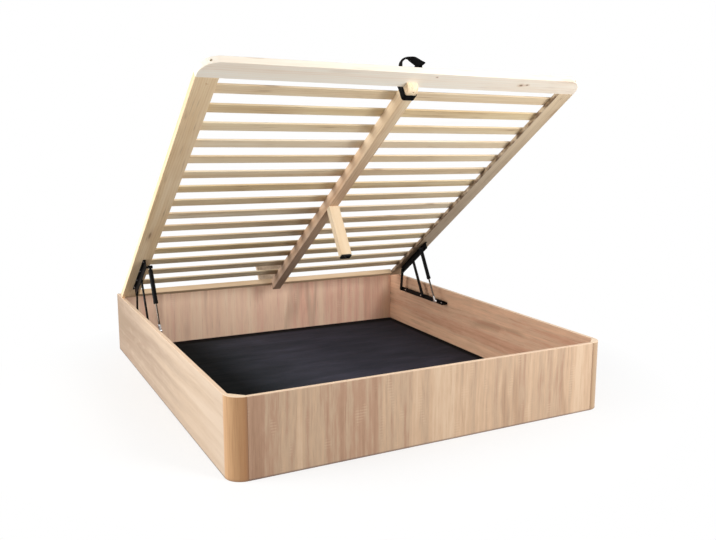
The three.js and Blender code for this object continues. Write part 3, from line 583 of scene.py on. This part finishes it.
def floor_cloth_material(name):
    """Spun black cloth: dotted bonding pattern, loose fibres and a bluish cast, with painted shade
    by the left, head and right panels and a paler middle, as lit.
    """
    n = Nodes(name)
    base = n.coords()
    dots = n.voronoi(base, scale=420)
    fibres = n.noise(n.stretched(base, (500, 900, 500)), detail=3, rough=0.7)
    lint = n.noise(n.sway(n.stretched(base, (2.6, 9, 8)), 1.2, (0.8, 1.2, 1)), detail=5, rough=0.62)
    shade = n.ramp(lint, [(0.3, lin(54, 57, 66)), (0.5, lin(64, 65, 76)), (0.72, lin(76, 76, 90))])
    shade = n.mix(n.grey(dots, 0.35, 0.0, 0.0, 0.4), shade, lin(22, 23, 26))
    # painted light and shade: by the left panel the cloth is darkened to deep black with a green
    # cast, and its middle is left paler, as lit
    place = n.separate(n.new("TexCoord").outputs["Object"])
    across = n.math("ADD", place[0], n.math("MULTIPLY", place[1], 0.06))
    painted_light_across = n.ramp(n.grey(across, 0.0, 1.0, -0.56, 0.64), [
        (0.0, (0.08, 0.11, 0.10, 1)), (0.10, (0.14, 0.18, 0.16, 1)), (0.22, (0.60, 0.66, 0.62, 1)),
        (0.40, (0.94, 0.94, 0.94, 1)), (0.64, (0.66, 0.64, 0.66, 1)), (1.0, (0.50, 0.46, 0.46, 1)),
    ])
    shade = n.mix(1.0, shade, painted_light_across, "MULTIPLY")
    # painted shade: along the head panel and the right one, where the cloth meets them, it is
    # painted black
    head_wall_shade = n.grey(place[1], 0.0, 1.0, 0.850, 0.885)
    right_wall_shade = n.grey(place[0], 0.0, 1.0, 0.738, 0.760)
    shade = n.mix(n.math("MAXIMUM", head_wall_shade, right_wall_shade), shade, lin(6, 6, 8))
    n.colour(shade)
    n.rough(n.grey(fibres, 0.72, 0.92))
    relief = n.math("ADD", n.math("MULTIPLY", dots, 0.5), n.math("MULTIPLY", fibres, 0.5))
    n.bump(relief, 0.35, 0.0006)
    n.set(specular_ior_level=0.03, sheen_weight=0.01, sheen_roughness=0.5)
    return n.mat


def webbing_material(name):
    """Black woven strap: ribs across it and threads along it, laid by UVs in metres."""
    n = Nodes(name)
    uv = n.new("UVMap", uv_map="band").outputs[0]
    ribs = n.wave(uv, scale=150, distortion=0.4, detail=1, direction="X")
    warp = n.wave(uv, scale=260, distortion=0.3, detail=1, direction="Y")
    cloud = n.noise(uv, scale=60, detail=3)
    weave = n.math("MULTIPLY", ribs, warp)
    shade = n.mix(n.grey(weave, 0.0, 0.6), lin(5, 5, 6), lin(20, 20, 22))
    shade = n.mix(n.grey(cloud, 0.0, 0.25, 0.5, 0.8), shade, lin(32, 31, 30))
    n.colour(shade)
    n.rough(n.grey(weave, 0.62, 0.85))
    n.bump(weave, 0.5, 0.0007)
    n.set(specular_ior_level=0.05, sheen_weight=0.01, sheen_roughness=0.5)
    return n.mat


def hardboard_material(name):
    """Raw hardboard: pressed chips in mixed browns."""
    n = Nodes(name)
    base = n.coords()
    chips = n.noise(base, scale=240, detail=5, rough=0.7)
    cloud = n.noise(base, scale=9, detail=3)
    browns = [(0.3, lin(96, 66, 44)), (0.5, lin(122, 88, 60)), (0.7, lin(148, 112, 80))]
    shade = n.ramp(chips, browns)
    shade = n.mix(n.math("MULTIPLY", cloud, 0.4), shade, lin(108, 78, 54))
    n.colour(shade)
    n.rough(n.grey(chips, 0.7, 0.9))
    n.bump(chips, 0.3, 0.0004)
    return n.mat


# Tones: of foil from cream to dark brown, of posts and pine light, middle and dark
TAPE = lin(238, 210, 182)
# The panels share one foil; these four copies of it carry painted light and shade: the foot panel's
# is the deepest, the head panel's the palest, against the lid's shade over it
FOIL = (
    lin(204, 178, 151), lin(193, 163, 135), lin(182, 156, 131),
    lin(173, 139, 115), lin(158, 125, 101),
)
FOIL_HEAD = (
    lin(255, 228, 201), lin(251, 216, 188), lin(246, 209, 183),
    lin(242, 195, 171), lin(222, 176, 151),
)
FOIL_LEFT = (
    lin(208, 187, 165), lin(196, 173, 149), lin(185, 163, 141),
    lin(171, 148, 127), lin(155, 132, 110),
)
FOIL_RIGHT = (
    lin(236, 196, 164), lin(226, 182, 150), lin(214, 176, 147),
    lin(210, 162, 134), lin(196, 148, 118),
)
# painted light: the foot panel's foil is paler toward its right end and the left panel's toward the
# foot end, where more light falls
foil_up = laminate("oak_foil_upright", "Z", FOIL, TAPE, seed=0.31, lean=(0, 0.125))
foil_up_head = laminate("oak_foil_upright_head", "Z", FOIL_HEAD, TAPE, seed=2.17, streak=0.22,
                       mottled=0.14, lines=0.30)
foil_side_left = laminate("oak_foil_left", "Y", FOIL_LEFT, TAPE, seed=1.13, lean=(1, -0.20),
                         streak=0.12, mottled=0.08, lines=0.16)
foil_side_right = laminate("oak_foil_right", "Y", FOIL_RIGHT, TAPE, seed=4.71)
foil_stop = laminate("oak_foil_stop", "Z", FOIL_LEFT, TAPE, seed=3.3, top=False)
TAN = (lin(215, 173, 127), lin(203, 159, 114), lin(156, 109, 69))
SAND = (lin(194, 166, 135), lin(184, 156, 126), lin(160, 131, 100))
post_left_mat = foil_post("oak_foil_post_left", TAN, 1)
post_right_mat = foil_post("oak_foil_post_right", SAND, -1)
# painted light and shade in the lid's pines: the foot rail's copy is the palest and the head rail's
# deeper, as the light falls off toward the lid's head end
PINE = (lin(246, 228, 200), lin(234, 211, 178), lin(212, 180, 142))
PALE = (lin(255, 250, 238), lin(254, 243, 227), lin(243, 224, 202))
WARM = (lin(249, 226, 192), lin(238, 209, 168), lin(216, 178, 134))
AMBER = (lin(254, 236, 204), lin(240, 213, 176), lin(208, 174, 135))
HEAD_PINE = (lin(228, 201, 168), lin(215, 184, 146), lin(191, 155, 113))
DUN = (lin(234, 212, 180), lin(217, 193, 160), lin(187, 158, 123))
# the beam and the right rail carry painted shade toward the lid's head end
pine_rails = {
    "lid_rail_left": pine("pine_left", "Y", WARM, 0.7, 0.4, marks=0.5),
    "lid_rail_right": pine("pine_right", "Y", DUN, 0.7, 2.9, marks=0.8, edge_at=RIGHT_RAIL_INNER,
                           head_shade=((0.66, 0.64, 0.65), (0.81, 0.81, 0.84))),
    "lid_rail_foot": pine(
        "pine_foot", "X", PALE, 0.8, 1.7, marks=0.3,
        knot_at=((0.4955, 1.8577, 0.0055), (0.5235, 1.8617, 0.004), (0.0900, 1.8800, 0.0022)),
    ),
    "lid_rail_head": pine("pine_head", "X", HEAD_PINE, 0.5, 5.1),
    "lid_beam": pine("pine_beam", "Y", AMBER, 0.6, 3.6, marks=0.5,
                     head_shade=((0.52, 0.45, 0.47), (0.79, 0.70, 0.69))),
    "lid_leg": pine("pine_leg", "Z", PINE, 0.4, 6.2),
}
SLAT_TONES = [
    (lin(250, 234, 204), lin(240, 217, 181), lin(213, 183, 146)),
    (lin(247, 230, 195), lin(233, 208, 164), lin(204, 171, 128)),
    (lin(252, 237, 212), lin(243, 222, 189), lin(217, 188, 152)),
    (lin(249, 232, 202), lin(238, 214, 178), lin(208, 177, 138)),
    (lin(248, 231, 199), lin(236, 212, 173), lin(208, 177, 137)),
]
# painted shade: the slats darken a little toward the lid's head end
slat_mats = [
    pine("slat_wood_%d" % k, "X", tones, 0.45, 0.9 + 1.37 * k, marks=0.6,
         head_shade=((0.84, 0.83, 0.79), (1, 1, 1)))
    for k, tones in enumerate(SLAT_TONES)
]
steel_mat = painted_steel("black_coat")
tube_mat = painted_steel("black_tube", (7, 7, 8), wear=0.15)
zinc_mat = bright_metal("zinc_plate", (214, 216, 220))
rod_mat = bright_metal("ground_rod", (84, 76, 70), (0.12, 0.24), (44, 38, 34))
plastic_mat = black_plastic("moulded_black")
cloth_mat = floor_cloth_material("spun_cloth")
webbing_mat = webbing_material("strap_webbing")
board_mat = hardboard_material("raw_hardboard")


# Materials on the model's pieces
def dress(name, material):
    """Gives a piece of the model its one material."""
    o = nodes[name]
    o.data.materials.clear()
    o.data.materials.append(material)


dress("panel_foot", foil_up)
dress("panel_head", foil_up_head)
dress("panel_left", foil_side_left)
dress("panel_right", foil_side_right)
dress("post_left", post_left_mat)
dress("post_right", post_right_mat)
dress("mattress_stop", foil_stop)
dress("floor_board", board_mat)
dress("leg_foot", plastic_mat)
for name, material in pine_rails.items():
    dress(name, material)
for i in range(SLAT_COUNT):
    dress("slat_%02d" % (i + 1), slat_mats[(i * 2) % len(slat_mats)])
for s in ("left", "right"):
    for name in ("lower_rail_", "upper_rail_", "rear_link_", "front_link_"):
        dress(name + s, steel_mat)
    dress("gas_tube_" + s, tube_mat)
    dress("gas_rod_" + s, rod_mat)
    dress("gas_end_" + s, zinc_mat)


def soften(name, width):
    """Rounds a piece's edges a little and shades its curves smooth."""
    o = nodes[name]
    if "custom_normal" in o.data.attributes:
        o.data.attributes.remove(o.data.attributes["custom_normal"])
    for p in o.data.polygons:
        p.use_smooth = True
    weld = o.modifiers.new("weld", "WELD")
    weld.merge_threshold = 0.00002
    bevel = o.modifiers.new("bevel", "BEVEL")
    bevel.width = width
    bevel.segments = 2
    bevel.limit_method = "ANGLE"
    bevel.angle_limit = math.radians(32)
    normals = o.modifiers.new("normals", "WEIGHTED_NORMAL")
    normals.weight = 100


STEEL_NAMES = ("gas_", "rear_link_", "front_link_", "lower_rail_", "upper_rail_")
STEEL_EDGE, WOOD_EDGE = 0.0003, 0.0008
for name in nodes:
    soften(name, STEEL_EDGE if name.startswith(STEEL_NAMES) else WOOD_EDGE)


# Shapes made here
def new_object(name, verts, faces, material, body):
    """A smooth object in one material that rides on a body."""
    mesh = bpy.data.meshes.new(name)
    mesh.from_pydata([tuple(v) for v in verts], [], faces)
    mesh.update()
    for p in mesh.polygons:
        p.use_smooth = True
    o = bpy.data.objects.new(name, mesh)
    scene.collection.objects.link(o)
    mesh.materials.append(material)
    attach(o, body)
    return o


def lattice(i, j, seed):
    """A fixed scatter of values from 0 to 1, one for each point of a grid."""
    value = np.sin(i * 127.1 + j * 311.7 + seed * 74.7) * 43758.5453
    return value - np.floor(value)


def smooth_noise(u, v, seed):
    """Even noise from 0 to 1 over a unit grid."""
    i, j = np.floor(u), np.floor(v)
    a, b = u - i, v - j
    a, b = a * a * a * (a * (a * 6 - 15) + 10), b * b * b * (b * (b * 6 - 15) + 10)
    low = lattice(i, j, seed) * (1 - a) + lattice(i + 1, j, seed) * a
    high = lattice(i, j + 1, seed) * (1 - a) + lattice(i + 1, j + 1, seed) * a
    return low * (1 - b) + high * b


def step(x, low, high):
    """0 below low, 1 above high and smooth between."""
    t = np.clip((x - low) / (high - low), 0, 1)
    return t * t * (3 - 2 * t)


def lid_point(x, v, w):
    """A point of the open lid: across, down from its head edge, and out of its upper side."""
    c, s = math.cos(TILT), math.sin(TILT)
    return Vector((x, LID_HEAD.y - v * c + w * s, LID_HEAD.z + v * s + w * c))


def lid_way(x, v, w):
    """A direction on the open lid, given as lid_point's three measures."""
    return lid_point(x, v, w) - lid_point(0, 0, 0)


# Cloth on the floor of the box
def cloth_height(x, y):
    """Height of the cloth's creases: fine irregular ripples across the bed, in patches, and a
    hem, flat where the leg's foot stands."""
    warp = 0.16 * (smooth_noise(x / 0.50, y / 0.34, 1) - 0.5)
    warp += 0.045 * (smooth_noise(x / 0.15, y / 0.09, 2) - 0.5)
    fan = 0.16 * (x + 0.35) * step(-y, 0.25, 0.95)
    fine = 0.5 + 0.5 * np.cos(2 * np.pi * (y + warp + fan) / 0.031)
    finer = 0.5 + 0.5 * np.cos(2 * np.pi * (y + 1.6 * warp + 1.4 * fan) / 0.017)
    patch = step(smooth_noise(x / 0.30 + 5, y / 0.20, 3), 0.42, 0.85)
    near_foot = step(-y, 0.05, 0.75)
    fine_patch = step(smooth_noise(x / 0.20, y / 0.13 + 9, 4), 0.45, 0.85)
    height = 0.0014 * fine**2 * patch * (0.30 + 0.70 * near_foot)
    height += 0.0007 * finer**1.5 * fine_patch * (0.4 + 0.6 * near_foot)
    height += 0.0009 * smooth_noise(x / 0.10, (y + warp) / 0.026, 6)
    height += 0.0005 * smooth_noise(x / 0.04, (y + warp) / 0.010, 7)
    edge = np.minimum(CLOTH_X - np.abs(x), CLOTH_Y - np.abs(y))
    hem = 0.0005 * (1 - step(edge, 0.012, 0.0145))
    # the leg's foot presses the cloth flat where it stands when the lid is shut
    pressed = step(np.hypot(x, y - LEG_STANDS_Y), 0.040, 0.095)
    return height * (0.25 + 0.75 * step(edge, 0.0, 0.05)) * (0.03 + 0.97 * pressed) + hem


def make_cloth():
    columns, rows = 150, 330
    t = np.linspace(-1, 1, columns)
    y = np.linspace(-CLOTH_Y, CLOTH_Y, rows)
    # the two foot corners are cut across at the posts
    slope = (CLOTH_X - CLOTH_CUT_X) / (CLOTH_Y - CLOTH_CUT_Y)
    reach = CLOTH_X - np.maximum(-CLOTH_CUT_Y - y, 0) * slope
    xs = reach[:, None] * t[None, :]
    ys = np.repeat(y[:, None], columns, axis=1)
    zs = CLOTH_TOP + cloth_height(xs, ys)
    verts = np.stack([xs, ys, zs], axis=-1).reshape(-1, 3)
    faces = [
        (r * columns + c, r * columns + c + 1, (r + 1) * columns + c + 1, (r + 1) * columns + c)
        for r in range(rows - 1)
        for c in range(columns - 1)
    ]
    cloth = new_object("floor_cloth_laid", verts, faces, cloth_mat, "base")
    thick = cloth.modifiers.new("thickness", "SOLIDIFY")
    thick.thickness = CLOTH_THICK
    thick.offset = -1
    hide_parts("floor_cloth")


# Pull strap
def strap_stops():
    """The strap's way round the beam and over the foot rail: its middles and its ways across.

    A middle is given as lid_point's three measures, in metres.
    """
    band = STRAP_T / 2 + STRAP_CLEAR
    under = -BEAM_DROP - band
    beside = BEAM_HALF + band
    mm = 0.001
    stops = [
        ((0, STRAP_V, under), (0, 1, 0)),
        ((-beside + 4 * mm, STRAP_V, under), (0, 1, 0)),
        ((-beside, STRAP_V, under + 5 * mm), (0, 1, 0)),
        ((-beside, STRAP_V, 0), (0, 1, 0)),
        ((-beside - 0.5 * mm, STRAP_V, RAIL_T / 2), (0, 1, 0)),
        ((-beside - 3 * mm, STRAP_V + 2 * mm, RAIL_T + 8 * mm), (0, 1, -0.35)),
    ]
    # the free loop, in mm: on edge up its left side, then turned flat and bent down on its right
    free = [
        ((-43.1, 1850.2, 46.0), (-0.82, 0.42, -0.38)),
        ((-52.9, 1878.6, 46.0), (-0.68, 0.57, -0.46)),
        ((-57.2, 1900.4, 47.0), (-0.66, 0.64, -0.40)),
        ((-52.9, 1917.7, 47.0), (-0.57, 0.75, -0.36)),
        ((-39.8, 1924.4, 45.6), (-0.42, 0.87, -0.28)),
        ((-23.0, 1922.0, 42.6), (-0.10, 0.98, 0.14)),
        ((-2.4, 1913.4, 38.6), (0.18, 0.92, 0.36)),
        ((15.6, 1905.6, 36.0), (0.42, 0.82, 0.38)),
        ((25.0, 1902.6, 35.0), (0.56, 0.78, 0.30)),
        ((29.0, 1896.6, 38.5), (0.66, 0.72, 0.22)),
        ((20.0, 1890.0, 37.0), (0.85, 0.50, 0.10)),
        ((11.0, 1880.0, 32.0), (1, 0.10, 0)),
        ((12.0, 1856.5, 30.5), (1, 0, 0)),
        ((21.0, 1820.0, 33.5), (1, 0.35, 0)),
    ]
    stops += [(tuple(mm * c for c in at), across) for at, across in free]
    stops += [
        ((beside + 6 * mm, STRAP_V + 6 * mm, RAIL_T + 14 * mm), (-0.75, -1, 0.1)),
        ((beside + 1.5 * mm, STRAP_V + mm, RAIL_T + 2 * mm), (-0.1, -1, 0)),
        ((beside, STRAP_V, RAIL_T / 3), (0, -1, 0)),
        ((beside, STRAP_V, under + 5 * mm), (0, -1, 0)),
        ((beside - 4 * mm, STRAP_V, under), (0, -1, 0)),
    ]
    return stops


def closed_curve(points):
    """Points along the closed centripetal curve through the given ones, with their place in it."""
    per = 60
    pts = np.array(points, float)
    n = len(pts)
    out, place = [], []
    for i in range(n):
        p0, p1, p2, p3 = (pts[(i + k) % n] for k in (-1, 0, 1, 2))
        pairs = ((p0, p1), (p1, p2), (p2, p3))
        d0, d1, d2 = (max(np.linalg.norm(b - a) ** 0.5, 1e-4) for a, b in pairs)
        t1 = ((p1 - p0) / d0 - (p2 - p0) / (d0 + d1) + (p2 - p1) / d1) * d1
        t2 = ((p2 - p1) / d1 - (p3 - p1) / (d1 + d2) + (p3 - p2) / d2) * d1
        for k in range(per):
            t = k / per
            c2 = -3 * p1 + 3 * p2 - 2 * t1 - t2
            c3 = 2 * p1 - 2 * p2 + t1 + t2
            out.append(p1 + t1 * t + c2 * t * t + c3 * t**3)
            place.append(i + t)
    return np.array(out), np.array(place)


def band_frames(stops, steps):
    """Even places along the strap's loop: middle, along, across and out, and distance."""
    reach = 0.0008
    line, place = closed_curve([p for p, _ in stops])
    closed = np.vstack([line, line[:1]])
    dist = np.concatenate([[0], np.cumsum(np.linalg.norm(np.diff(closed, axis=0), axis=1))])
    total = dist[-1]
    ways = np.array([w for _, w in stops], float)
    ways /= np.linalg.norm(ways, axis=1)[:, None]
    signed = [ways[0]]
    for w in ways[1:]:
        signed.append(w if np.dot(w, signed[-1]) > 0 else -w)
    signed = np.array(signed)
    frames = []
    for i in range(steps):
        s = total * i / steps
        at = np.array([np.interp(s, dist, closed[:, k]) for k in range(3)])
        ahead = np.array([np.interp((s + reach) % total, dist, closed[:, k]) for k in range(3)])
        behind = np.array([np.interp((s - reach) % total, dist, closed[:, k]) for k in range(3)])
        along = ahead - behind
        along /= np.linalg.norm(along)
        where = np.interp(s, dist, np.concatenate([place, [len(stops)]]))
        k = int(where) % len(stops)
        nxt = (k + 1) % len(stops)
        target = signed[nxt] if np.dot(signed[nxt], signed[k]) > 0 else -signed[nxt]
        across = signed[k] + (target - signed[k]) * (where - int(where))
        across -= along * np.dot(across, along)
        across /= np.linalg.norm(across)
        if frames and np.dot(across, frames[-1][2]) < 0:
            across = -across
        frames.append((at, along, across, np.cross(along, across), s))
    return frames, total


def make_strap():
    steps = 320
    frames, total = band_frames(strap_stops(), steps)
    half, thick = STRAP_W / 2, STRAP_T / 2
    # section: a woven band, thinner at its rounded selvedges and very slightly cupped
    section = [(u, 1.0) for u in np.linspace(-1, 1, 13)]
    section += [(u, -1.0) for u in np.linspace(1, -1, 13)]
    verts, uvs = [], []
    for at, along, across, out, s in frames:
        for u, side in section:
            body = thick * (0.42 + 0.58 * min(1.0, (1 - abs(u)) / 0.07))
            cup = 0.0003 * (u * u - 0.4)
            p = at + across * half * u + out * (side * body + cup)
            verts.append(lid_point(*p))
            uvs.append((s, half * u))
    m = len(section)
    faces, face_uv = [], []
    for i in range(steps):
        j = (i + 1) % steps
        for c in range(m):
            d = (c + 1) % m
            faces.append((i * m + c, i * m + d, j * m + d, j * m + c))
            s0, s1 = frames[i][4], frames[i][4] + total / steps
            a, b = half * section[c][0], half * section[d][0]
            face_uv.append(((s0, a), (s0, b), (s1, b), (s1, a)))
    strap = new_object("pull_strap_webbing", verts, faces, webbing_mat, "lid")
    layer = strap.data.uv_layers.new(name="band")
    k = 0
    for quad in face_uv:
        for uv in quad:
            layer.data[k].uv = uv
            k += 1
    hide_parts("pull_strap")


# Screws
def screw_head(radius, height, turn):
    """A pan head with a cross recess, round Z, standing on z = 0."""
    rings, spokes = 9, 28
    verts, faces = [], []
    for i in range(rings):
        r = radius * (i + 1) / rings
        for k in range(spokes):
            a = 2 * math.pi * k / spokes
            x, y = r * math.cos(a), r * math.sin(a)
            dome = height * (1 - (r / radius) ** 3.2 * 0.85)
            slot = min(abs(x), abs(y)) < radius * 0.12 and r < radius * 0.56
            verts.append(Vector((x, y, dome - (0.5 * height if slot else 0))))
    verts.append(Vector((0, 0, 0.4 * height)))
    base = len(verts)
    for k in range(spokes):
        a = 2 * math.pi * k / spokes
        verts.append(Vector((radius * math.cos(a), radius * math.sin(a), 0)))
    for k in range(spokes):
        j = (k + 1) % spokes
        faces.append((base - 1, k, j))
        for i in range(rings - 1):
            near, far = i * spokes, (i + 1) * spokes
            faces.append((near + k, far + k, far + j, near + j))
        last = (rings - 1) * spokes
        faces.append((last + k, base + k, base + j, last + j))
    faces.append(tuple(base + k for k in reversed(range(spokes))))
    turned = Matrix.Rotation(turn, 3, "Z")
    return [turned @ v for v in verts], faces


def screws(name, places, body, radius, height):
    """Zinc screw heads as one piece: each place is a point on the surface and the way out of it."""
    verts, faces = [], []
    for number, (at, out) in enumerate(places):
        head, sides = screw_head(radius, height, 0.7 + 1.9 * number)
        turn = Vector(out).to_track_quat("Z", "Y").to_matrix()
        start = len(verts)
        verts += [Vector(at) + turn @ v for v in head]
        faces += [tuple(start + i for i in f) for f in sides]
    new_object(name, verts, faces, zinc_mat, body)


def make_screws():
    for side, sign in (("left", -1), ("right", 1)):
        # countersunk screws through the lower rail's inner blade, flush where the links pass
        blade = [
            ((sign * (BLADE_X - 0.00005), y, RAIL_MIDDLE), (-sign, 0, 0))
            for y in (RAIL_FRONT + 0.010, FRONT_PIN_Y + 0.028, REAR_PIN_Y - 0.044)
        ]
        screws("lower_rail_screws_" + side, blade, "base", 0.0044, 0.00035)
        flange = [
            (lid_point(sign * FLANGE_X, v, FLANGE_W), lid_way(0, 0, -1))
            for v in (0.130, 0.215, 0.315, 0.418)
        ]
        screws("upper_rail_screws_" + side, flange, "lid", 0.0032, 0.0014)
    nail = [(lid_point(0, LEG_V, LEG_RECESS_W), lid_way(0, 0, -1))]
    screws("leg_foot_nail", nail, "lid", 0.0062, 0.0022)


make_cloth()
make_strap()
make_screws()


# Floor
def make_floor():
    mesh = bpy.data.meshes.new("studio_floor")
    mesh.from_pydata([(-60, -60, 0), (60, -60, 0), (60, 60, 0), (-60, 60, 0)], [], [(0, 1, 2, 3)])
    floor = bpy.data.objects.new("studio_floor", mesh)
    scene.collection.objects.link(floor)
    n = Nodes("studio_floor")
    # the camera and reflections see a pale floor; the light that it sends back to the bed is that
    # of a grey one
    seen = straight_rays(n.tree)
    n.colour(n.mix(seen, (0.45, 0.45, 0.45, 1), (0.93, 0.93, 0.93, 1)))
    n.rough(0.9)
    n.set(specular_ior_level=0.1)
    # away from the bed the camera and reflections see an even white sweep
    far = n.new("VectorMath", operation="LENGTH")
    n.link(n.new("TexCoord").outputs["Object"], far.inputs[0])
    share = n.grey(far.outputs["Value"], 0.55, 1.0, 0.8, 1.6)
    white = n.new("Emission")
    sweep = n.new("MixShader")
    n.link(n.math("MULTIPLY", seen, share), sweep.inputs["Fac"])
    n.link(n.bsdf.outputs[0], sweep.inputs[1])
    n.link(white.outputs[0], sweep.inputs[2])
    n.link(sweep.outputs[0], n.out.inputs["Surface"])
    mesh.materials.append(n.mat)
    floor.location.z = -0.0002


make_floor()
